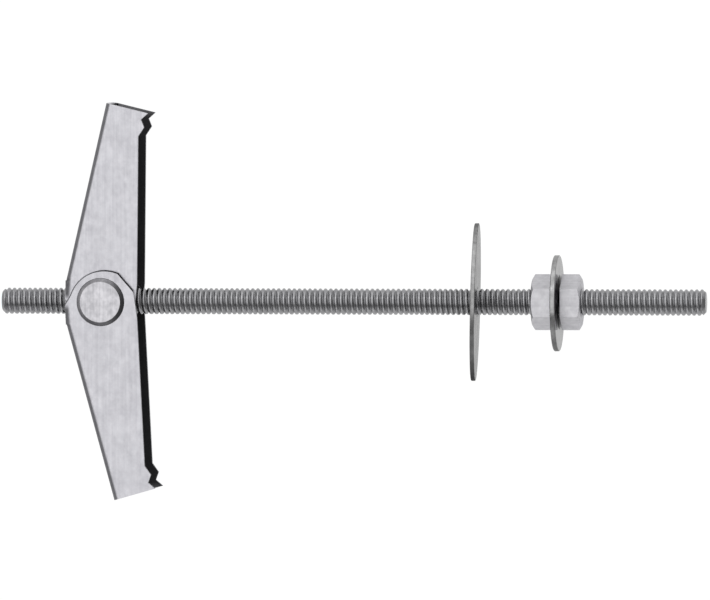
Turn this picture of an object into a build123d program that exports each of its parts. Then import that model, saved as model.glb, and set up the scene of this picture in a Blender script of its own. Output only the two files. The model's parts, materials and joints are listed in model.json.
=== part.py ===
from build123d import *
import os
from math import asin, cos, degrees, pi, radians, sin, sqrt, tan

# Spring toggle bolt for hollow ceilings and walls, in millimetres.
# Each piece is made in a bench frame: the rod lies along X, the barrel that the wings pivot on lies
# along Z with its centre at the origin, and the wings stand open along +Y and -Y.
# At the end the whole bolt is laid on a flat surface, on the plate washer's rim, the barrel and a wing tip.

# Threaded rod
rod_d = 6.35
rod_length = 171.45
rod_chamfer = 0.8
tail_length = 25.0  # rod behind the barrel's centre
free_length = 30.1  # rod past the rear nut

# Clearances
thread_clearance = 0.03  # on the radius, where the rod passes a threaded hole
pivot_clearance = 0.08  # on the radius, barrel to ear
layer_gap = 0.08  # between two ears that lap
seat_gap = 0.08  # between the rod and the side of a hole that it bears on
coil_clearance = 0.1  # beside a coil, towards the rod and towards the ear
leg_gap = 0.1  # between the end of a spring leg and the web that it pushes
overrun = 5.0  # how far a cut runs past what it cuts

# Barrel nut
barrel_d = 11.5
barrel_chamfer = 0.85
barrel_proud = 0.9  # how far each end stands out of the ears
barrel_mouth = 0.5  # countersink where the rod enters

# Torsion spring
wire_d = 0.6
coil_turns = 2  # whole turns on each side of the rod
coil_spacing = 0.03  # between neighbouring turns
coil_slack = 1.35  # room for the coils to tighten round the barrel
leg_length = 12.0
bridge_bend = 1.2  # radius of the wire where the two long legs join

# Wings, measured along (from the pivot to the tip) and ahead (towards the wall) of the pivot
sheet = 0.9
bend_radius = 0.5  # inside the folds
wing_reach = 48.15
spine_angle = 12.4  # between the spine and the front edge, in degrees
spine_clear = 1.02  # from the coils to the spine's inside
web_clear = 1.9  # from the rod to the web's cut end
ear_wall = 1.8  # from the pivot hole to the ear's round end
ear_front_wall = 2.27  # from the pivot hole to the ear's front edge
ear_facet_start = 2.5  # where the ear's cut front corner starts, along the wing
ear_facet_drop = 4.3  # its size along the wing, and then across it
ear_facet_back = 3.4
front_step = 0.6  # how far the front edge stands ahead of the ear
front_blend = 4.2  # where that step ends, along the wing
ear_edge = 0.3  # broken edge round the ear's end, on its outer face
ear_back_share = 0.27  # where the ear's round end meets its straight back, of its radius
upper_lean = 0.65  # how far each wing is folded from square as it rests, in degrees
lower_lean = 2.8

# Teeth at a wing's tip: distance back from the tip's front corner, and height over the front edge
corner_back = 2.4  # the tip's front corner, back from its spine corner
corner_height = 2.3
notch_back = 1.52
notch_height = 0.65
tooth_back = 3.4
tooth_height = 1.42
tooth_base = 5.6

# Hex nuts
nut_flats = 11.7
nut_height = 4.9
nut_chamfer_angle = 30.0
nut_face_share = 0.9  # bearing face over the width across flats
nut_mouth = 0.45  # countersink of the thread

# Washers
plate_d = 38.1
plate_hole_d = 7.14
plate_thickness = 1.05
plate_lean = 1.4  # turned from square to the rod, in degrees
plate_pitch = 4.4  # its top tipped towards the nuts, in degrees
plate_to_nut = 13.45  # free space up to the front nut
flat_d = 23.2
flat_hole_d = 7.14
flat_thickness = 1.2
flat_hang = 55.0  # where it hangs on the rod, from straight down, in degrees
stack_gap_front = 0.35  # from the front nut to the flat washer
stack_gap_rear = 0.55  # from the flat washer to the rear nut
washer_edge = 0.15  # broken edges of both washers

# Places along the rod, from the barrel's centre
rod_start = -tail_length
rod_end = rod_length - tail_length
rear_nut_x = rod_end - free_length - nut_height
flat_washer_x = rear_nut_x - stack_gap_rear - flat_thickness / 2
front_nut_x = flat_washer_x - flat_thickness / 2 - stack_gap_front - nut_height
plate_washer_x = front_nut_x - plate_to_nut - plate_thickness / 2

# Radii
rod_r = rod_d / 2
barrel_r = barrel_d / 2
wire_r = wire_d / 2
pivot_hole_r = barrel_r + pivot_clearance
coil_r = barrel_r + coil_slack + wire_r
spine_offset = coil_r + wire_r + spine_clear + sheet  # from the pivot to the spine's outer face
outer_bend = bend_radius + sheet

# The legs run from the coils to the webs at a small angle, and follow the coil's own rise
coil_pitch = wire_d + coil_spacing
coil_rise = coil_pitch / (2 * pi * coil_r)
leg_angle = degrees(asin((spine_clear - leg_gap) / leg_length))
upper_leg_turn = spine_angle + upper_lean - leg_angle
lower_leg_turn = spine_angle + lower_lean - leg_angle
coil_count = coil_turns + (upper_leg_turn + lower_leg_turn) / 360
coil_height = coil_count * coil_pitch

# Layers along the barrel, from its centre: coil, inner ear, outer ear, barrel end
coil_z = rod_r + coil_clearance + wire_r
inner_ear_z = coil_z + coil_height + coil_rise * leg_length + wire_r + coil_clearance
outer_ear_z = inner_ear_z + sheet + layer_gap
barrel_end_z = outer_ear_z + sheet + barrel_proud


def along_x(radius: float, start: float, end: float) -> Part:
    """Round bar or hole along the rod's axis."""
    return Location((start, 0, 0)) * extrude(Plane.YZ * Circle(radius), end - start)


def mouths(radius: float, depth: float, start: float, end: float) -> Part:
    """The two countersinks of a hole along the rod's axis."""
    profile = Polyline((0, 0), (0, radius + depth), (depth, radius), (depth, 0), close=True)
    mouth = revolve(make_face(profile), Axis.X)
    far_mouth = mirror(mouth, Plane.YZ)
    return Location((start, 0, 0)) * mouth + Location((end, 0, 0)) * far_mouth


def make_rod() -> Part:
    """Fully threaded rod, as its major diameter."""
    rod = along_x(rod_r, rod_start, rod_end)
    return chamfer(rod.edges().filter_by(GeomType.CIRCLE), rod_chamfer)


def make_barrel() -> Part:
    """Barrel nut: its ends carry the ears and the rod screws through its middle."""
    barrel = extrude(Circle(barrel_r), barrel_end_z, both=True)
    barrel = chamfer(barrel.edges().filter_by(GeomType.CIRCLE), barrel_chamfer)
    thread_r = rod_r + thread_clearance
    barrel -= along_x(thread_r, -barrel_d, barrel_d)
    crown = sqrt(barrel_r**2 - thread_r**2)  # how far along the rod the thread is whole
    return barrel - mouths(thread_r, barrel_mouth, -crown, crown)


def spine_ahead(along: float) -> float:
    """How far ahead of the pivot the spine's outer face lies, at a place along the wing."""
    slope = radians(spine_angle)
    return (along * sin(slope) - spine_offset) / cos(slope)


def wing_outline() -> Sketch:
    """Side view of a wing: spine on the left, toothed front edge on the right, ear at the bottom."""
    ear_front = pivot_hole_r + ear_front_wall
    front = ear_front + front_step
    corner = wing_reach - corner_back
    ear_top = (ear_front - ear_facet_back, -ear_facet_start - ear_facet_drop)
    ear_r = pivot_hole_r + ear_wall
    ear_low = -ear_r * ear_back_share
    ear_back = (-sqrt(ear_r**2 - ear_low**2), ear_low)
    web_root = rod_r + web_clear
    spine_root = spine_ahead(web_root)
    edge = Polyline(
        ear_back,
        (spine_root, 0),
        (spine_root, web_root),
        (spine_ahead(wing_reach), wing_reach),
        (front + corner_height, corner),
        (front + notch_height, corner - notch_back),
        (front + tooth_height, corner - tooth_back),
        (front, corner - tooth_base),
        (front, front_blend),
        (ear_front, -ear_facet_start),
        ear_top,
    )
    ear_end = ThreePointArc(ear_top, (0, -ear_r), ear_back)
    return make_face(edge.edges() + ear_end.edges())


def make_wing() -> Part:
    """Folded wing along +Y: a channel open to the front, with flat ears past the end of its web."""
    low = -outer_ear_z - sheet
    high = inner_ear_z + sheet
    width = high - low
    web_root = rod_r + web_clear
    depth = spine_offset + wing_reach
    outline = wing_outline()

    # The folded section, drawn across the spine and run along it
    middle = (low + high) / 2
    outside = Pos(depth / 2, 0) * Rectangle(depth, width)
    outside = fillet(outside.vertices().group_by(Axis.X)[0], outer_bend)
    inside = Pos(sheet + depth / 2, 0) * Rectangle(depth, width - 2 * sheet)
    inside = fillet(inside.vertices().group_by(Axis.X)[0], bend_radius)
    slope = radians(spine_angle)
    across = Plane(
        origin=(spine_ahead(0), 0, middle),
        x_dir=(cos(slope), -sin(slope), 0),
        z_dir=(sin(slope), cos(slope), 0),
    )
    channel = extrude(across * (outside - inside), wing_reach + overrun, both=True)

    # The outline trims the channel above the web's cut end and the flat ears below it
    span = 2 * depth
    beyond = Pos(0, web_root + span / 2) * Rectangle(2 * span, span)
    blank = extrude(Pos(0, 0, low) * (outline & beyond), width)
    ear = extrude(outline - beyond, sheet)
    rim = ear.faces().sort_by(Axis.Z)[-1].edges().filter_by(lambda edge: edge.center().Y < 0)
    ear = chamfer(rim, ear_edge)
    ears = Pos(0, 0, high - sheet) * ear + mirror(Pos(0, 0, -low - sheet) * ear, Plane.XY)
    wing = (channel & blank) + ears
    pivot = extrude(Circle(pivot_hole_r), width + overrun, both=True)
    return wing - pivot


def make_spring() -> Part:
    """Double torsion spring: its long legs join across the upper web, its free legs push the lower one."""
    coil = Helix(coil_pitch, coil_height, coil_r)
    coil = Pos(0, 0, coil_z) * Rot(0, 0, 180 - upper_leg_turn) * coil
    leg_tip = coil @ 0 - (coil % 0) * leg_length
    across = Vector(leg_tip.X, leg_tip.Y, 0)
    long_leg = FilletPolyline(across, leg_tip, coil @ 0, radius=bridge_bend)
    free_leg = Line(coil @ 1, coil @ 1 + (coil % 1) * leg_length)
    path = Wire(long_leg.edges() + [coil.edge()] + [free_leg.edge()])
    section = Plane(origin=across, z_dir=(0, 0, 1)) * Circle(wire_r)
    half = sweep(section, path=path)
    return half + mirror(half, Plane.XY)


def make_nut(start: float) -> Part:
    """Hex nut chamfered on both faces, with a flat towards +Z."""
    corner_r = nut_flats / sqrt(3)
    face_r = nut_face_share * nut_flats / 2
    drop = (corner_r - face_r) * tan(radians(nut_chamfer_angle))
    hexagon = Plane.YZ * RegularPolygon(nut_flats / 2, 6, major_radius=False)
    turned = Polyline(
        (0, 0),
        (0, face_r),
        (drop, corner_r),
        (nut_height - drop, corner_r),
        (nut_height, face_r),
        (nut_height, 0),
        close=True,
    )
    nut = extrude(hexagon, nut_height) & revolve(make_face(turned), Axis.X)
    thread_r = rod_r + thread_clearance
    nut -= along_x(thread_r, -overrun, nut_height + overrun)
    nut -= mouths(thread_r, nut_mouth, 0, nut_height)
    return Location((start, 0, 0)) * nut


def make_washer(outer_d: float, hole_d: float, thickness: float) -> Part:
    """Plain washer on the rod's axis, with broken edges."""
    washer = along_x(outer_d / 2, -thickness / 2, thickness / 2)
    washer -= along_x(hole_d / 2, -thickness, thickness)
    return chamfer(washer.edges().filter_by(GeomType.CIRCLE), washer_edge)


# The rod bears on the plate washer's hole, and the flat washer hangs on the rod
plate_rise = plate_hole_d / 2 - rod_r - seat_gap
flat_drop = flat_hole_d / 2 - rod_r - seat_gap
hang = radians(flat_hang)
plate_place = Pos(plate_washer_x, 0, plate_rise) * Rot(0, plate_pitch, -plate_lean)
flat_place = Pos(flat_washer_x, -flat_drop * sin(hang), -flat_drop * cos(hang))
plate_washer = make_washer(plate_d, plate_hole_d, plate_thickness)
flat_washer = make_washer(flat_d, flat_hole_d, flat_thickness)

wing = make_wing()
bench = {
    "threaded_rod": make_rod(),
    "trunnion_nut": make_barrel(),
    "torsion_spring": make_spring(),
    "upper_wing": Rot(0, 0, -upper_lean) * wing,
    "lower_wing": Rot(0, 0, lower_lean) * Rot(180, 0, 0) * wing,
    "plate_washer": plate_place * plate_washer,
    "front_nut": make_nut(front_nut_x),
    "flat_washer": flat_place * flat_washer,
    "rear_nut": make_nut(rear_nut_x),
}

# The surface that the bolt rests on, through its three lowest points
rim_point = (plate_place * Pos(washer_edge - plate_thickness / 2, 0, -plate_d / 2)).position
barrel_point = Vector(barrel_chamfer - barrel_r, 0, -barrel_end_z)
tip = Vector(spine_ahead(wing_reach) + outer_bend, wing_reach, -outer_ear_z - sheet)
tip_point = tip.rotate(Axis.Z, -upper_lean)
up = (rim_point - barrel_point).cross(tip_point - barrel_point).normalized()
rod_axis = Vector(1, 0, 0)
forward = rod_axis - up * rod_axis.dot(up)
surface = Plane(origin=barrel_point, x_dir=forward, z_dir=up)
laid = surface.location.inverse()

# The origin is under the middle of the laid bolt, on the surface
box = Compound(children=[laid * piece for piece in bench.values()]).bounding_box()
to_origin = Location((-box.center().X, -box.center().Y, -box.min.Z))
row = to_origin * laid

os.makedirs("parts", exist_ok=True)
for name, piece in bench.items():
    export_step(row * piece, f"parts/{name}.step")
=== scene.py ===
"""Looks, light and camera for a spring toggle bolt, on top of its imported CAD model."""

import json
import logging
import math
from dataclasses import dataclass
from enum import Enum
from typing import Any, Callable, Iterable, Optional, Union

import bpy
from mathutils import Matrix, Vector

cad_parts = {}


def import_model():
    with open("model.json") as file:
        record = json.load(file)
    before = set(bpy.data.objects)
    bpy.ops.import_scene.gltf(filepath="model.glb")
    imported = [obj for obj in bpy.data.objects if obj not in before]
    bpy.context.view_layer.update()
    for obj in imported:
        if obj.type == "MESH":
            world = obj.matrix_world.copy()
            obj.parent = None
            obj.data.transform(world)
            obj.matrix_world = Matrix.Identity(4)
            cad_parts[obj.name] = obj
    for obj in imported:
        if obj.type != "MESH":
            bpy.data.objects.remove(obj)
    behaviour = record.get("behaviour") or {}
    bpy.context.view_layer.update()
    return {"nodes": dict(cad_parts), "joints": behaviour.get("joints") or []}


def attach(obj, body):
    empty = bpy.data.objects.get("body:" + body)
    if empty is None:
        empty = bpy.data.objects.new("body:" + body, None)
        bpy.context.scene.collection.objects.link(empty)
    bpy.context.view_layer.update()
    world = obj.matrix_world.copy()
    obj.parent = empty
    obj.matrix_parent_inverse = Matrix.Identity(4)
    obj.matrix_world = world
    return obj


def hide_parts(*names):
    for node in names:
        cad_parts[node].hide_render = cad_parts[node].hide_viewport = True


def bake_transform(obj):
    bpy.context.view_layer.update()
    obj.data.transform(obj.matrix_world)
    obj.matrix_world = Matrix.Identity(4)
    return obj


LOG = logging.getLogger("toggle_bolt")
MM = 0.001

Colour = tuple[float, float, float]
Place = tuple[float, float, float]
Span = tuple[float, float]
Number = Union[float, "Signal"]
Shade = Callable[["Paint", "Bench"], "Signal"]

WHITE = (1.0, 1.0, 1.0, 1.0)
# The near-black colour of painted shade
UNLIT: Colour = (0.03, 0.03, 0.032)
NOISE_ROUGHNESS = 0.55
SMALL_TURN = 1e-4

# The middle value of a noise, and an even share of two values
EVEN = 0.5

# Sockets of a Mix node that mixes colours
MIX_SHARE, MIX_FIRST, MIX_SECOND, MIX_COLOUR = 0, 6, 7, 2


class Layer(Enum):
    """Which side of the rod a spring piece lies on."""

    NEAR = 1
    FAR = -1


class Way(Enum):
    """Which way along the rod a piece looks."""

    WINGS = -1
    FREE_END = 1


class Grain(Enum):
    """Axis of the bench frame that a finish's streaks run along."""

    ROD = 0
    WING = 1
    BARREL = 2


@dataclass(frozen=True)
class Bench:
    """The frame that the pieces were made in, in millimetres.

    The rod lies along X, the barrel along Z, and the pivot is at the origin.
    """

    origin: Vector
    x: Vector
    y: Vector
    z: Vector

    @classmethod
    def from_joints(cls, joints: list[dict[str, Any]]) -> "Bench":
        """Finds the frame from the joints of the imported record.

        Args:
            joints: The record's joints.

        Returns:
            The bench frame, placed in the row frame.
        """
        named = {joint["name"]: joint for joint in joints}
        x = Vector(named["barrel_travel"]["axis"]).normalized()
        z = Vector(named["lower_wing_fold"]["axis"]).normalized()
        return cls(Vector(named["lower_wing_fold"]["pos_m"]), x, z.cross(x).normalized(), z)

    def point(self, x: float, y: float, z: float) -> Vector:
        """Moves a point from the bench to the row frame.

        Args:
            x: Millimetres along the rod.
            y: Millimetres along the upper wing.
            z: Millimetres along the barrel.

        Returns:
            The same point in metres, in the row frame.
        """
        return self.origin + (self.x * x + self.y * y + self.z * z) * MM

    def way(self, x: float, y: float, z: float) -> Vector:
        """Returns a bench direction in the row frame."""
        return self.x * x + self.y * y + self.z * z


class Signal:
    """A shader value whose operators add Math nodes."""

    def __init__(self, paint: "Paint", socket: bpy.types.NodeSocket) -> None:
        """Wraps a socket.

        Args:
            paint: The node tree that the socket is in.
            socket: An output socket.
        """
        self.paint = paint
        self.socket = socket

    def _math(self, operation: str, first: Number, second: Number = 0.0) -> "Signal":
        """Adds a Math node.

        Args:
            operation: What the node works out.
            first: Its first value.
            second: Its second value.

        Returns:
            The node's value.
        """
        node = self.paint.node("ShaderNodeMath", {"operation": operation}, {0: first, 1: second})
        return Signal(self.paint, node.outputs[0])

    def __add__(self, other: Number) -> "Signal":
        """Returns self + other."""
        return self._math("ADD", self, other)

    def __radd__(self, other: Number) -> "Signal":
        """Returns other + self."""
        return self._math("ADD", other, self)

    def __sub__(self, other: Number) -> "Signal":
        """Returns self - other."""
        return self._math("SUBTRACT", self, other)

    def __rsub__(self, other: Number) -> "Signal":
        """Returns other - self."""
        return self._math("SUBTRACT", other, self)

    def __mul__(self, other: Number) -> "Signal":
        """Returns self * other."""
        return self._math("MULTIPLY", self, other)

    def __rmul__(self, other: Number) -> "Signal":
        """Returns other * self."""
        return self._math("MULTIPLY", other, self)

    def __abs__(self) -> "Signal":
        """Returns the size of self."""
        return self._math("ABSOLUTE", self)

    def larger(self, other: Number) -> "Signal":
        """Returns the larger of self and other."""
        return self._math("MAXIMUM", self, other)

    def clamped(self) -> "Signal":
        """Returns self kept from 0 to 1."""
        return self._math("MINIMUM", self, 1.0).larger(0.0)

    def between(self, low: float, high: float) -> "Signal":
        """Rises smoothly from 0 to 1.

        Args:
            low: Where it starts to rise.
            high: Where it reaches 1.

        Returns:
            The smooth step.
        """
        node = self.paint.node(
            "ShaderNodeMapRange",
            {"interpolation_type": "SMOOTHSTEP"},
            {"Value": self, "From Min": low, "From Max": high},
        )
        return Signal(self.paint, node.outputs["Result"])


@dataclass(frozen=True)
class Waves:
    """Noise, in waves for each millimetre along the bench axes."""

    stretch: Place
    octaves: float


class Paint:
    """One material's node tree."""

    def __init__(self, name: str) -> None:
        """Makes a material with an empty tree.

        Args:
            name: The material's name.
        """
        self.material = bpy.data.materials.new(name)
        self.material.use_nodes = True
        self.tree = self.material.node_tree
        self.tree.nodes.clear()
        self.place = self.node("ShaderNodeTexCoord", {}, {}).outputs

    def node(
        self,
        kind: str,
        settings: dict[str, Any],
        sockets: dict[Union[str, int], Any],
    ) -> bpy.types.Node:
        """Adds a node, sets it up and joins its inputs.

        Args:
            kind: The node's type.
            settings: Its own settings, which may change its sockets.
            sockets: Values, signals or output sockets for its inputs.

        Returns:
            The node.
        """
        made = self.tree.nodes.new(kind)
        for name, value in settings.items():
            setattr(made, name, value)
        for name, value in sockets.items():
            if isinstance(value, Signal):
                value = value.socket
            if isinstance(value, bpy.types.NodeSocket):
                self.tree.links.new(value, made.inputs[name])
            else:
                made.inputs[name].default_value = value
        return made

    def _dot(self, vector: bpy.types.NodeSocket, axis: Vector) -> Signal:
        """Measures a vector along an axis.

        Args:
            vector: The vector's socket.
            axis: A direction in the row frame.

        Returns:
            The dot product.
        """
        node = self.node(
            "ShaderNodeVectorMath", {"operation": "DOT_PRODUCT"}, {0: vector, 1: axis}
        )
        return Signal(self, node.outputs["Value"])

    def along(self, bench: Bench, axis: Vector) -> Signal:
        """Measures a place along an axis from the pivot.

        Args:
            bench: The frame that holds the pivot.
            axis: A direction in the row frame.

        Returns:
            The distance in millimetres.
        """
        offset = self.node(
            "ShaderNodeVectorMath",
            {"operation": "SUBTRACT"},
            {0: self.place["Object"], 1: bench.origin},
        )
        return self._dot(offset.outputs["Vector"], axis) * (1 / MM)

    def from_rod(self, bench: Bench) -> Signal:
        """Measures how far a place is from the rod's axis.

        Args:
            bench: The frame that the rod lies in.

        Returns:
            The square of the distance, in square millimetres.
        """
        across, out = self.along(bench, bench.y), self.along(bench, bench.z)
        return across * across + out * out

    def facing(self, axis: Vector) -> Signal:
        """Returns the cosine between the surface and an axis of the row frame."""
        return self._dot(self.place["Normal"], axis)

    def noise(self, bench: Bench, waves: Waves) -> Signal:
        """Adds noise that is stretched along the bench axes.

        Args:
            bench: The frame that gives the axes.
            waves: The noise's size and detail.

        Returns:
            The noise, about 0.5.
        """
        axes = (bench.x, bench.y, bench.z)
        parts = [self.along(bench, axis) * scale for axis, scale in zip(axes, waves.stretch)]
        joined = self.node("ShaderNodeCombineXYZ", {}, dict(enumerate(parts)))
        noise = self.node(
            "ShaderNodeTexNoise",
            {},
            {
                "Vector": joined.outputs[0],
                "Scale": 1.0,
                "Detail": waves.octaves,
                "Roughness": NOISE_ROUGHNESS,
            },
        )
        return Signal(self, noise.outputs["Fac"])

    def blend(self, share: Number, first: Any, second: Any) -> bpy.types.NodeSocket:
        """Mixes two colours.

        Args:
            share: How much of the second colour shows.
            first: A colour or a colour socket.
            second: A colour or a colour socket.

        Returns:
            The mixed colour's socket.
        """
        sockets: dict[Union[str, int], Any] = {MIX_SHARE: share}
        for name, colour in ((MIX_FIRST, first), (MIX_SECOND, second)):
            linked = isinstance(colour, bpy.types.NodeSocket)
            sockets[name] = colour if linked else (*colour, 1.0)
        return self.node("ShaderNodeMix", {"data_type": "RGBA"}, sockets).outputs[MIX_COLOUR]

    def bump(self, height: Signal, depth: float) -> bpy.types.NodeSocket:
        """Turns a height into a normal.

        Args:
            height: The height, from 0 to 1.
            depth: How tall 1 is, in millimetres.

        Returns:
            The normal's socket.
        """
        node = self.node(
            "ShaderNodeBump", {}, {"Strength": 1.0, "Distance": depth * MM, "Height": height}
        )
        return node.outputs["Normal"]

    def finish(self, surface: bpy.types.NodeSocket) -> bpy.types.Material:
        """Joins a surface to the output and returns the material."""
        self.node("ShaderNodeOutputMaterial", {}, {"Surface": surface})
        return self.material


@dataclass(frozen=True)
class Zinc:
    """A zinc-plated finish.

    Its colour goes to its shade in streaks, patches and blots, and to the unlit colour as painted shade
    on sheared edges, in bends and where a surface is hidden from the light. Its relief is in
    millimetres.
    """

    slot: str
    colour: Colour
    shade: Colour
    roughness: float
    grain: Grain
    streaks: float
    mottle: float
    relief: float = 0.004
    edge_roughness: float = 0.35
    edge_tint: float = 1.0
    streak_across: float = 1.6
    streak_along: float = 0.05
    streak_octaves: float = 4.0
    patches: Waves = Waves((0.22, 0.22, 0.22), 3.0)
    blots: Waves = Waves((0.75, 0.6, 0.75), 2.0)
    grit: Waves = Waves((2.2, 2.2, 2.2), 2.0)
    streak_weight: float = 2.0
    patch_weight: float = 2.0
    blot_weight: float = 5.0
    grit_gloss: float = 0.2
    patch_gloss: float = 0.15

    def _streaks(self) -> Waves:
        """Returns the noise of the streaks along the grain."""
        stretch = [self.streak_along if axis is self.grain else self.streak_across for axis in Grain]
        return Waves(tuple(stretch), self.streak_octaves)

    def material(self, bench: Bench, darken: Optional[Shade] = None) -> bpy.types.Material:
        """Makes the material.

        Args:
            bench: The frame that the streaks follow.
            darken: Gives the share of painted shade, in the unlit colour, at each place.

        Returns:
            The material.
        """
        paint = Paint(self.slot)
        streak = paint.noise(bench, self._streaks())
        patch = paint.noise(bench, self.patches)
        blot = paint.noise(bench, self.blots)
        grit = paint.noise(bench, self.grit)
        uneven = (patch - EVEN) * self.patch_weight + (blot - EVEN) * self.blot_weight
        drawn = (streak - EVEN) * self.streaks * self.streak_weight
        worn = (uneven * self.mottle + drawn + EVEN).clamped()
        colour = paint.blend(worn, self.colour, self.shade)
        rough = (grit - EVEN) * self.grit_gloss + (patch - EVEN) * self.patch_gloss + self.roughness
        # Painted shade: the unlit colour is blended in where darken gives a share
        if darken is not None:
            share = darken(paint, bench)
            colour = paint.blend(share, colour, UNLIT)
            rough = rough + share * self.edge_roughness
        shader = paint.node(
            "ShaderNodeBsdfPrincipled",
            {},
            {
                "Base Color": colour,
                "Roughness": rough.clamped(),
                "Metallic": 1.0,
                "Specular Tint": (self.edge_tint, self.edge_tint, self.edge_tint, 1.0),
                "Normal": paint.bump(grit * EVEN + streak * EVEN, self.relief),
            },
        )
        return paint.finish(shader.outputs["BSDF"])


WING = Zinc(
    slot="pressed_zinc",
    colour=(0.69, 0.685, 0.72),
    shade=(0.53, 0.525, 0.56),
    roughness=0.46,
    grain=Grain.WING,
    streaks=0.65,
    mottle=0.25,
)
ROD = Zinc(
    slot="threaded_zinc",
    colour=(0.41, 0.41, 0.42),
    shade=(0.28, 0.28, 0.29),
    roughness=0.24,
    grain=Grain.ROD,
    streaks=0.1,
    mottle=0.25,
    edge_roughness=0.1,
)
BARREL = Zinc(
    slot="turned_zinc",
    colour=(0.68, 0.67, 0.7),
    shade=(0.47, 0.465, 0.49),
    roughness=0.42,
    grain=Grain.WING,
    streaks=0.8,
    mottle=0.45,
    edge_roughness=0.0,
)
WIRE = Zinc(
    slot="spring_wire",
    colour=(0.32, 0.32, 0.33),
    shade=(0.22, 0.22, 0.23),
    roughness=0.35,
    grain=Grain.BARREL,
    streaks=0.1,
    mottle=0.2,
)
PLATE = Zinc(
    slot="plate_zinc",
    colour=(0.5, 0.5, 0.5),
    shade=(0.33, 0.33, 0.33),
    roughness=0.16,
    grain=Grain.WING,
    streaks=0.6,
    mottle=0.5,
    edge_tint=0.36,
)
WASHER = Zinc(
    slot="washer_zinc",
    colour=(0.5, 0.5, 0.5),
    shade=(0.33, 0.33, 0.33),
    roughness=0.13,
    grain=Grain.WING,
    streaks=0.6,
    mottle=0.5,
    edge_tint=0.75,
)
NUT = Zinc(
    slot="nut_zinc",
    colour=(0.69, 0.685, 0.71),
    shade=(0.49, 0.485, 0.51),
    roughness=0.46,
    grain=Grain.ROD,
    streaks=0.45,
    mottle=0.25,
)


@dataclass
class Mesh:
    """Corners and faces that are gathered before they become an object."""

    name: str
    corners: list[Vector]
    faces: list[tuple[int, ...]]

    def object(self, material: bpy.types.Material, smooth: bool = True) -> bpy.types.Object:
        """Makes the object.

        Args:
            material: Its material.
            smooth: Whether its faces are shaded as one.

        Returns:
            The object, in the scene.
        """
        mesh = bpy.data.meshes.new(self.name)
        mesh.from_pydata([tuple(corner) for corner in self.corners], [], self.faces)
        mesh.validate()
        mesh.update()
        if smooth:
            mesh.shade_smooth()
        else:
            mesh.shade_flat()
        mesh.materials.append(material)
        made = bpy.data.objects.new(self.name, mesh)
        bpy.context.scene.collection.objects.link(made)
        return made


@dataclass(frozen=True)
class ThreadedRod:
    """The rod with its rolled thread, in millimetres."""

    start: float = -25.0
    end: float = 146.45
    radius: float = 3.175
    root: float = 2.72
    pitch: float = 1.27
    chamfer: float = 0.8
    rounding: float = 0.06
    lip_shares: Span = (0.0, 0.4)
    crest_shares: Span = (0.08, 0.32)
    foot_shares: Span = (0.6, 0.8)
    root_share: float = 0.7
    steps: int = 48
    crest_depth: float = 0.1
    end_fade: float = 0.1
    root_shade: float = 0.28

    def profile(self) -> list[tuple[float, float]]:
        """Finds the section of one thread.

        Returns:
            (share of the pitch, radius) from one crest to the next.
        """
        points = [(share, self.radius - self.rounding) for share in self.lip_shares]
        points += [(share, self.radius) for share in self.crest_shares]
        points += [(share, self.root + self.rounding) for share in self.foot_shares]
        return sorted([*points, (self.root_share, self.root)])

    def build(self, bench: Bench) -> bpy.types.Object:
        """Makes the rod.

        Args:
            bench: The frame that it lies in.

        Returns:
            The rod, which stands for the CAD node and is parented to the rod's body empty.
        """
        shape = Mesh("rod_thread", [], [])
        profile = self.profile()
        width = len(profile)
        # One more turn past each end
        turns = math.ceil((self.end - self.start) / self.pitch) + 2
        count = turns * self.steps
        inside: list[bool] = []
        for i in range(count + 1):
            angle = math.tau * i / self.steps
            for share, radius in profile:
                x = self.start + self.pitch * (i / self.steps + share - 1)
                inside.append(self.start < x < self.end)
                x = min(max(x, self.start), self.end)
                cap = self.radius - self.chamfer + min(x - self.start, self.end - x)
                r = min(radius, cap)
                shape.corners.append(bench.point(x, r * math.cos(angle), r * math.sin(angle)))
        for i in range(count):
            for j in range(width):
                last = j == width - 1
                low = i * width + j
                high = (i + self.steps) * width if last else low + 1
                face = (low, high, high + width, low + width)
                if max(face) < len(inside) and any(inside[corner] for corner in face):
                    shape.faces.append(face)
        for x, way in ((self.start, Way.WINGS), (self.end, Way.FREE_END)):
            self._cap(shape, bench, x, way)
        rod = shape.object(ROD.material(bench, self._roots))
        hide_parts("threaded_rod")
        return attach(rod, "rod")

    def _roots(self, paint: Paint, bench: Bench) -> Signal:
        """Finds the roots of the thread, which the light hardly reaches.

        Args:
            paint: The rod's material.
            bench: The frame that the rod lies in.

        Returns:
            The share of the unlit colour, which is 0 on the rod's ends.
        """
        crest = self.radius - self.crest_depth
        inside = 1.0 - paint.from_rod(bench).between(self.root**2, crest**2)
        length = paint.along(bench, bench.x)
        begun = length.between(self.start, self.start + self.end_fade)
        ended = length.between(self.end - self.end_fade, self.end)
        return inside * (begun - ended) * self.root_shade

    def _cap(self, shape: Mesh, bench: Bench, x: float, way: Way) -> None:
        """Closes one end of the rod.

        Args:
            shape: The mesh to add to.
            bench: The frame that the rod lies in.
            x: The end's place along the rod.
            way: Which way the end looks.
        """
        first = len(shape.corners)
        r = self.radius - self.chamfer
        for i in range(self.steps):
            angle = math.tau * i / self.steps
            shape.corners.append(bench.point(x, r * math.cos(angle), r * math.sin(angle)))
        ring = tuple(range(first, first + self.steps))
        shape.faces.append(ring if way is Way.FREE_END else ring[::-1])


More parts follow.
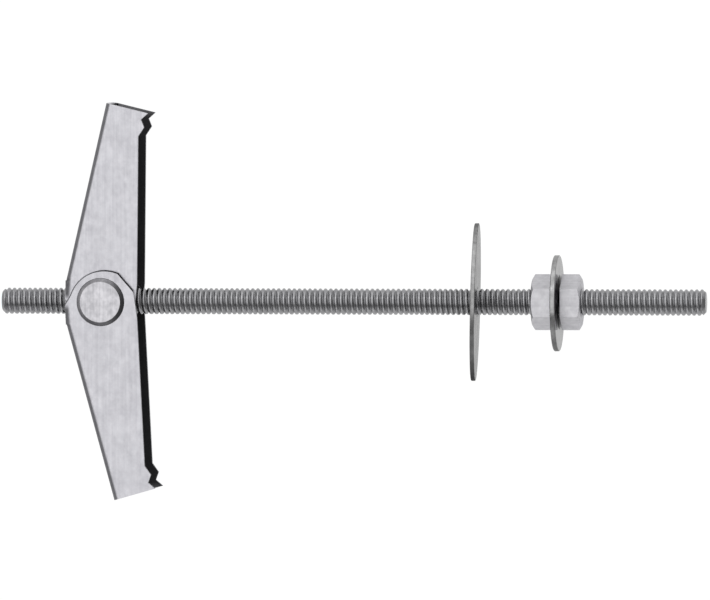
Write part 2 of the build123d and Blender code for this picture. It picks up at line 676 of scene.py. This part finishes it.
@dataclass(frozen=True)
class TorsionSpring:
    """The double spring round the barrel, in millimetres and degrees, cut in the middle of its coils."""

    wire_radius: float = 0.3
    coil_radius: float = 7.4
    pitch: float = 0.63
    turns: int = 2
    coil_z: float = 3.575
    leg: float = 12.0
    bend: float = 1.2
    slope: float = 12.4
    upper_lean: float = 0.65
    lower_lean: float = 2.8
    leg_angle: float = 4.397
    bend_steps: int = 8
    coil_steps: int = 140
    sides: int = 10
    first_side: Place = (0.3, 0.2, 0.93)

    def path(self) -> list[Vector]:
        """Draws the wire on the near side of the rod.

        Returns:
            Its centreline in the bench frame, from the middle of the bridge.
        """
        upper = math.radians(self.slope + self.upper_lean - self.leg_angle)
        lower = math.radians(self.slope + self.lower_lean - self.leg_angle)
        total = math.tau * self.turns + upper + lower
        tip = self._on_coil(0, upper) - self._heading(0, upper) * self.leg
        back = (self._on_coil(0, upper) - tip).normalized()
        down = Vector((0, 0, -1))
        corner = [tip + back * self.bend, tip, tip + down * self.bend]
        points = [Vector((tip.x, tip.y, 0))]
        for k in range(self.bend_steps + 1):
            t = 1 - k / self.bend_steps
            points.append(
                corner[0] * (1 - t) ** 2 + corner[1] * 2 * t * (1 - t) + corner[2] * t**2
            )
        for k in range(self.coil_steps + 1):
            points.append(self._on_coil(total * k / self.coil_steps, upper))
        points.append(self._on_coil(total, upper) + self._heading(total, upper) * self.leg)
        return points

    def _on_coil(self, turn: float, upper: float) -> Vector:
        """Finds a point of the near coil.

        Args:
            turn: How far round the coil it is, in radians.
            upper: How far the coil's start leans, in radians.

        Returns:
            The point in the bench frame.
        """
        angle = math.pi - upper + turn
        rise = self.pitch / math.tau
        flat = (self.coil_radius * math.cos(angle), self.coil_radius * math.sin(angle))
        return Vector((*flat, self.coil_z + rise * turn))

    def _heading(self, turn: float, upper: float) -> Vector:
        """Finds which way the near coil runs.

        Args:
            turn: How far round the coil, in radians.
            upper: How far the coil's start leans, in radians.

        Returns:
            The direction in the bench frame.
        """
        before, after = turn - SMALL_TURN, turn + SMALL_TURN
        return (self._on_coil(after, upper) - self._on_coil(before, upper)).normalized()

    def build(self, bench: Bench) -> list[bpy.types.Object]:
        """Makes the spring in four pieces, two on each side of the rod.

        Args:
            bench: The frame that it lies in.

        Returns:
            The pieces, cut in the middle of the coils.
        """
        material = WIRE.material(bench)
        path = self.path()
        middle = self.bend_steps + 2 + self.coil_steps // 2
        top = path[-2].z
        half = (self.coil_z + top) / 2
        pieces = []
        for layer in Layer:
            flip = layer.value
            runs = (
                ("upper_wing", path[: middle + 1], self.coil_z),
                ("lower_wing", path[middle:], top),
            )
            for body, run, end in runs:
                run = [Vector((point.x, point.y, point.z * flip)) for point in run]
                piece = self._tube(f"spring_{layer.name.lower()}_{body}", run, bench).object(material)
                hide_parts("torsion_spring")
                bench.point(0, 0, half * flip)
                bench.point(0, 0, end * flip)
                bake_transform(piece)
                pieces.append(piece)
        return pieces

    def _tube(self, name: str, run: list[Vector], bench: Bench) -> Mesh:
        """Makes a round wire along a run of points.

        Args:
            name: The mesh's name.
            run: The wire's centreline in the bench frame.
            bench: The frame.

        Returns:
            The closed wire.
        """
        shape = Mesh(name, [], [])
        side = Vector(self.first_side)
        for k, point in enumerate(run):
            ahead = (run[min(k + 1, len(run) - 1)] - run[max(k - 1, 0)]).normalized()
            side = (side - ahead * side.dot(ahead)).normalized()
            over = ahead.cross(side)
            for i in range(self.sides):
                angle = math.tau * i / self.sides
                offset = (side * math.cos(angle) + over * math.sin(angle)) * self.wire_radius
                shape.corners.append(bench.point(*(point + offset)))
        for k in range(len(run) - 1):
            for i in range(self.sides):
                j = (i + 1) % self.sides
                low, high = k * self.sides, (k + 1) * self.sides
                shape.faces.append((low + i, low + j, high + j, high + i))
        shape.faces.append(tuple(range(self.sides))[::-1])
        shape.faces.append(tuple(range(len(shape.corners) - self.sides, len(shape.corners))))
        return shape


@dataclass(frozen=True)
class Toggle:
    """The two wings and the barrel that they pivot on, in millimetres.

    A facing span is the two cosines between which a surface starts to look along an axis.
    """

    tip: float = 47.0
    back: float = -8.73
    back_slope: float = 0.08
    inner_face: float = 5.4
    inner_fade: float = 0.2
    # Painted shade on the insides of the channels, lighter at the open ends
    inward_rate: float = -0.2
    inward_facing: Span = (0.3, 0.8)
    inside_shade: float = 0.95
    open_end: float = 3.0
    open_relief: float = 0.35
    web_facing: Span = (0.5, 0.8)
    web_shade: float = 0.9
    # Painted shade along the bends of the spine
    bend_from: Span = (0.05, 0.3)
    bend_to: Span = (0.9, 1.0)
    bend_shade: float = 0.6
    # Painted shade along the ears' backs
    ear_depth: Span = (0.4, 1.2)
    ear_from: Span = (0.3, 2.0)
    ear_to: Span = (5.5, 7.5)
    ear_shade: float = 0.7
    # Painted shade on the sheared edges, fading on those that look away from the free end, and lighter
    # at the tips
    flat_facing: Span = (0.75, 0.95)
    ahead_facing: Span = (-0.4, 0.2)
    edge_shade: float = 0.5
    tip_facing: Span = (0.7, 0.9)
    tip_reach: Span = (43.0, 46.0)
    tip_relief: float = 0.48
    # Painted shade on the barrel's ring, darker towards the plate washer and the lower wing
    ring_shade: float = 0.63
    ring_ahead: float = 0.3
    ring_low: float = 0.15

    def dress(self, bench: Bench, nodes: dict[str, bpy.types.Object]) -> None:
        """Gives the wings and the barrel their finishes, with painted shade.

        Args:
            bench: The frame that they were made in.
            nodes: The CAD nodes.
        """
        for name in ("upper_wing", "lower_wing"):
            dress(nodes[name], WING.material(bench, self._wing_shade))
        dress(nodes["trunnion_nut"], BARREL.material(bench, self._ring))

    def _wing_shade(self, paint: Paint, bench: Bench) -> Signal:
        """Finds where shade is painted on a wing.

        Args:
            paint: The wing's material.
            bench: The frame that the wing was made in.

        Returns:
            The share of the unlit colour.
        """
        reach = abs(paint.along(bench, bench.y))
        folds = self._ear_back(paint, bench, reach).larger(self._bends(paint, bench))
        shade = self._inside(paint, bench, reach) + folds + self._painted_edge_shade(paint, bench, reach)
        return shade.clamped()

    def _inside(self, paint: Paint, bench: Bench, reach: Signal) -> Signal:
        """Finds the inner faces of the flanges and the web, where shade is painted.

        Args:
            paint: The wing's material.
            bench: The frame that the wing was made in.
            reach: The distance from the rod's axis along the wings.

        Returns:
            The share of the unlit colour.
        """
        height = paint.along(bench, bench.z)
        inward = paint.facing(bench.z) * height * self.inward_rate
        open_end = reach.between(self.tip - self.open_end, self.tip)
        flanges = inward.between(*self.inward_facing) * (self.inside_shade - open_end * self.open_relief)
        low = 1.0 - abs(height).between(self.inner_face - self.inner_fade, self.inner_face)
        return flanges + paint.facing(bench.x).between(*self.web_facing) * low * self.web_shade

    def _bends(self, paint: Paint, bench: Bench) -> Signal:
        """Finds the bends between the web and the flanges, where shade is painted.

        Args:
            paint: The wing's material.
            bench: The frame that the wing was made in.

        Returns:
            The share of the unlit colour.
        """
        up = abs(paint.facing(bench.z))
        return up.between(*self.bend_from) * (1.0 - up.between(*self.bend_to)) * self.bend_shade

    def _ear_back(self, paint: Paint, bench: Bench, reach: Signal) -> Signal:
        """Finds the strip along the back of an ear, where shade is painted.

        Args:
            paint: The wing's material.
            bench: The frame that the wing was made in.
            reach: The distance from the rod's axis along the wings.

        Returns:
            The share of the unlit colour.
        """
        depth = paint.along(bench, bench.x) - reach * self.back_slope - self.back
        strip = 1.0 - depth.between(*self.ear_depth)
        length = reach.between(*self.ear_from) * (1.0 - reach.between(*self.ear_to))
        return strip * length * self.ear_shade

    def _painted_edge_shade(self, paint: Paint, bench: Bench, reach: Signal) -> Signal:
        """Finds the sheared edges of the sheet, where shade is painted.

        Args:
            paint: The wing's material.
            bench: The frame that the wing was made in.
            reach: The distance from the rod's axis along the wings.

        Returns:
            The share of the unlit colour.
        """
        edge = 1.0 - abs(paint.facing(bench.z)).between(*self.flat_facing)
        ahead = paint.facing(bench.x).between(*self.ahead_facing)
        tip = abs(paint.facing(bench.y)).between(*self.tip_facing) * reach.between(*self.tip_reach)
        return edge * ahead * (self.edge_shade - tip * self.tip_relief)

    def _ring(self, paint: Paint, bench: Bench) -> Signal:
        """Finds the barrel's chamfer and the wall under it, where shade is painted.

        Args:
            paint: The barrel's material.
            bench: The frame that the barrel was made in.

        Returns:
            The share of the unlit colour, which is 0 on the barrel's end faces.
        """
        turn = paint.facing(bench.x) * self.ring_ahead - paint.facing(bench.y) * self.ring_low
        wall = 1.0 - abs(paint.facing(bench.z)).between(*self.flat_facing)
        return wall * (turn + self.ring_shade)


@dataclass(frozen=True)
class HexNut:
    """A hex nut that is chamfered on one face and flat on the other, in millimetres and degrees."""

    node: str
    start: float
    rounded: Way
    sides: int = 6
    flats: float = 11.7
    height: float = 4.9
    face_share: float = 0.97
    slope: float = 30.0
    burr: float = 0.12
    bore_radius: float = 3.2
    mouth: float = 0.45
    steps: int = 96

    def rings(self, angle: float) -> list[tuple[float, float]]:
        """Finds the nut's section at one angle.

        Args:
            angle: The angle round the rod, from the middle of a flat.

        Returns:
            (height over the flat face, radius) from the chamfered face round to the bore.
        """
        sector = math.tau / self.sides
        offset = (angle + sector / 2) % sector - sector / 2
        side = self.flats / 2 / math.cos(offset)
        face = self.face_share * self.flats / 2
        drop = (side - face) * math.tan(math.radians(self.slope))
        return [
            (self.height, self.bore_radius + self.mouth),
            (self.height, face),
            (self.height - drop, side),
            (self.burr, side),
            (0.0, side - self.burr),
            (0.0, self.bore_radius + self.mouth),
            (self.mouth, self.bore_radius),
            (self.height - self.mouth, self.bore_radius),
        ]

    def build(self, bench: Bench, material: bpy.types.Material) -> bpy.types.Object:
        """Makes the nut.

        Args:
            bench: The frame that it lies in.
            material: Its finish.

        Returns:
            The nut, which stands for the CAD node and is parented to the nut's body empty.
        """
        shape = Mesh(f"{self.node}_chamfered", [], [])
        ahead = self.rounded is Way.FREE_END
        base = self.start if ahead else self.start + self.height
        width = len(self.rings(0.0))
        for i in range(self.steps):
            angle = math.tau * i / self.steps
            for height, radius in self.rings(angle):
                x = base + height * self.rounded.value
                shape.corners.append(bench.point(x, radius * math.sin(angle), radius * math.cos(angle)))
        for i in range(self.steps):
            near, far = i * width, (i + 1) % self.steps * width
            for j in range(width):
                k = (j + 1) % width
                face = (near + j, near + k, far + k, far + j)
                shape.faces.append(face if ahead else face[::-1])
        nut = shape.object(material, False)
        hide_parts(self.node)
        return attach(nut, self.node)


@dataclass(frozen=True)
class Fasteners:
    """The washers and nuts on the rod, in millimetres."""

    nuts: tuple[HexNut, ...] = (
        HexNut(node="front_nut", start=104.45, rounded=Way.WINGS),
        HexNut(node="rear_nut", start=111.45, rounded=Way.FREE_END),
    )
    face_facing: Span = (0.7, 0.95)
    # Painted shade on the rims, lighter where they look along the barrel or towards the upper wing
    plate_rim: float = 0.5
    flat_rim: float = 0.4
    out_facing: Span = (0.1, 0.3)
    out_relief: float = 0.4
    high_relief: float = 0.7
    # Painted shadow on the flat washer's face behind the rear nut
    seat_radius: float = 6.9
    seat_fade: float = 0.7
    seat_shade: float = 0.75

    def build(self, bench: Bench) -> list[bpy.types.Object]:
        """Makes the nuts.

        Args:
            bench: The frame that they lie in.

        Returns:
            The nuts.
        """
        material = NUT.material(bench)
        return [nut.build(bench, material) for nut in self.nuts]

    def dress(self, bench: Bench, nodes: dict[str, bpy.types.Object]) -> None:
        """Gives the washers their finishes, with painted shade.

        Args:
            bench: The frame that they were made in.
            nodes: The CAD nodes.
        """
        dress(nodes["plate_washer"], PLATE.material(bench, self._plate_shade))
        dress(nodes["flat_washer"], WASHER.material(bench, self._flat_shade))

    def _plate_shade(self, paint: Paint, bench: Bench) -> Signal:
        """Returns the share of the unlit colour on the plate washer."""
        return self._rim(paint, bench, self.plate_rim)

    def _flat_shade(self, paint: Paint, bench: Bench) -> Signal:
        """Returns the share of the unlit colour on the flat washer."""
        return self._rim(paint, bench, self.flat_rim).larger(self._seat(paint, bench))

    def _rim(self, paint: Paint, bench: Bench, most: float) -> Signal:
        """Finds a washer's sheared rim, where shade is painted.

        Args:
            paint: The washer's material.
            bench: The frame that the washer was made in.
            most: The share of the unlit colour before the reliefs.

        Returns:
            The share of the unlit colour, which is 0 on the flat faces.
        """
        high = paint.facing(bench.y)
        out = 1.0 - abs(high).between(*self.out_facing)
        edge = 1.0 - abs(paint.facing(bench.x)).between(*self.face_facing)
        shade = edge * (1.0 - out * self.out_relief) * (1.0 - high * self.high_relief) * most
        return shade.clamped()

    def _seat(self, paint: Paint, bench: Bench) -> Signal:
        """Finds the flat washer's face behind the rear nut, which the light hardly reaches.

        Args:
            paint: The washer's material.
            bench: The frame that the washer was made in.

        Returns:
            The share of the unlit colour.
        """
        inner = self.seat_radius - self.seat_fade
        inside = 1.0 - paint.from_rod(bench).between(inner**2, self.seat_radius**2)
        return paint.facing(bench.x).between(*self.face_facing) * inside * self.seat_shade


def dress(obj: bpy.types.Object, material: bpy.types.Material) -> None:
    """Puts one material on every slot of a CAD node.

    Args:
        obj: The node.
        material: Its material.
    """
    if not obj.material_slots:
        obj.data.materials.append(material)
    for slot in obj.material_slots:
        slot.material = material


@dataclass(frozen=True)
class SoftLamp:
    """A square lamp that looks at a point, in metres and watts."""

    name: str
    place: Place
    size: float
    power: float
    aim: Place = (0.0, 0.0, 0.0)

    def build(self) -> bpy.types.Object:
        """Makes the lamp.

        Returns:
            The lamp, in the scene.
        """
        data = bpy.data.lights.new(self.name, "AREA")
        data.shape = "SQUARE"
        data.size = self.size
        data.energy = self.power
        lamp = bpy.data.objects.new(self.name, data)
        lamp.location = self.place
        way = Vector(self.aim) - Vector(self.place)
        lamp.rotation_euler = way.to_track_quat("-Z", "Y").to_euler()
        bpy.context.scene.collection.objects.link(lamp)
        return lamp


@dataclass(frozen=True)
class Studio:
    """The white table, the lamps and the camera.

    The table and the lamps are in metres. The camera is given in the bench frame, in
    millimetres, as it was fitted to the photograph.
    """

    lamps: tuple[SoftLamp, ...] = (
        SoftLamp(name="overhead", place=(-0.5, 0.3, 1.3), size=1.7, power=8.6, aim=(-0.05, 0.0, 0.0)),
        SoftLamp(name="upper_side", place=(0.0, 1.1, 0.6), size=1.4, power=6.6),
        SoftLamp(name="lower_side", place=(0.0, -1.1, 0.45), size=0.9, power=2.2),
    )
    table: float = 3.0
    pale: float = 0.88
    glow: float = 1.06
    lift: float = 0.92
    mirror_lift: float = 0.5
    ambient: float = 0.32
    lens: float = 503.19
    sensor: float = 36.0
    sight: float = 20.0
    eye: Place = (368.015, 92.272, 2378.622)
    right: Place = (0.99179, -0.002123, -0.127863)
    up: Place = (-0.002791, 0.999265, -0.03824)

    def build(self, bench: Bench, drop: float) -> None:
        """Makes everything that isn't part of the bolt.

        Args:
            bench: The frame that the camera's place is given in.
            drop: How far below the bolt the table lies, in metres.
        """
        self._floor(drop)
        for lamp in self.lamps:
            lamp.build()
        self._world()
        self._camera(bench)
        bpy.context.scene.view_settings.view_transform = "Standard"

    def _floor(self, drop: float) -> None:
        """Makes the table, which looks white and still takes the shadow.

        Args:
            drop: How far below the bolt it lies, in metres.
        """
        half = self.table / 2
        sides = ((-half, -half), (half, -half), (half, half), (-half, half))
        corners = [Vector((x, y, -drop)) for x, y in sides]
        paint = Paint("table")
        top = paint.node("ShaderNodeBsdfDiffuse", {}, {"Color": (self.pale, self.pale, self.pale, 1.0)})
        glow = paint.node("ShaderNodeEmission", {}, {"Color": WHITE, "Strength": self.glow})
        rays = paint.node("ShaderNodeLightPath", {}, {}).outputs
        seen = Signal(paint, rays["Is Camera Ray"]) * self.lift
        through = Signal(paint, rays["Is Transmission Ray"]) * self.lift
        mirrored = Signal(paint, rays["Is Glossy Ray"]) * self.mirror_lift
        mix = paint.node(
            "ShaderNodeMixShader",
            {},
            {0: (seen + through + mirrored).clamped(), 1: top.outputs[0], 2: glow.outputs[0]},
        )
        floor = Mesh("table", corners, [(0, 1, 2, 3)]).object(paint.finish(mix.outputs[0]), False)

    def _world(self) -> None:
        """Fills in the light from the room."""
        world = bpy.data.worlds.new("room")
        world.use_nodes = True
        back = world.node_tree.nodes["Background"]
        back.inputs["Color"].default_value = WHITE
        back.inputs["Strength"].default_value = self.ambient
        bpy.context.scene.world = world

    def _camera(self, bench: Bench) -> None:
        """Places the camera where the photograph was taken from.

        Args:
            bench: The frame that the camera's place is given in.
        """
        right = bench.way(*self.right)
        up = bench.way(*self.up)
        turn = Matrix((right, up, right.cross(up))).transposed()
        data = bpy.data.cameras.new("camera")
        data.sensor_width = self.sensor
        data.lens = self.lens
        data.clip_end = self.sight
        camera = bpy.data.objects.new("camera", data)
        camera.matrix_world = Matrix.Translation(bench.point(*self.eye)) @ turn.to_4x4()
        bpy.context.scene.collection.objects.link(camera)
        bpy.context.scene.camera = camera


def slide_drop(joints: list[dict[str, Any]]) -> float:
    """Finds how far down the leaning rod the slides can carry a piece.

    Args:
        joints: The record's joints.

    Returns:
        The largest drop from a place at rest, in metres.
    """
    slides = [joint for joint in joints if joint["type"] == "slide"]
    return max(-joint["axis"][2] * end for joint in slides for end in joint["range_m"])


def log_pieces(pieces: Iterable[bpy.types.Object]) -> None:
    """Reports the pieces that were made.

    Args:
        pieces: The pieces.
    """
    for piece in pieces:
        LOG.info("%s: %d faces", piece.name, len(piece.data.polygons))


def main() -> None:
    """Builds the scene."""
    logging.basicConfig(level=logging.INFO, format="%(name)s: %(message)s")
    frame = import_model()
    bench = Bench.from_joints(frame["joints"])
    log_pieces([ThreadedRod().build(bench)])
    log_pieces(TorsionSpring().build(bench))
    Toggle().dress(bench, frame["nodes"])
    LOG.info("wings and barrel dressed")
    fasteners = Fasteners()
    log_pieces(fasteners.build(bench))
    fasteners.dress(bench, frame["nodes"])
    LOG.info("washers dressed")
    Studio().build(bench, slide_drop(frame["joints"]))
    LOG.info("studio built")


if __name__ == "__main__":
    main()
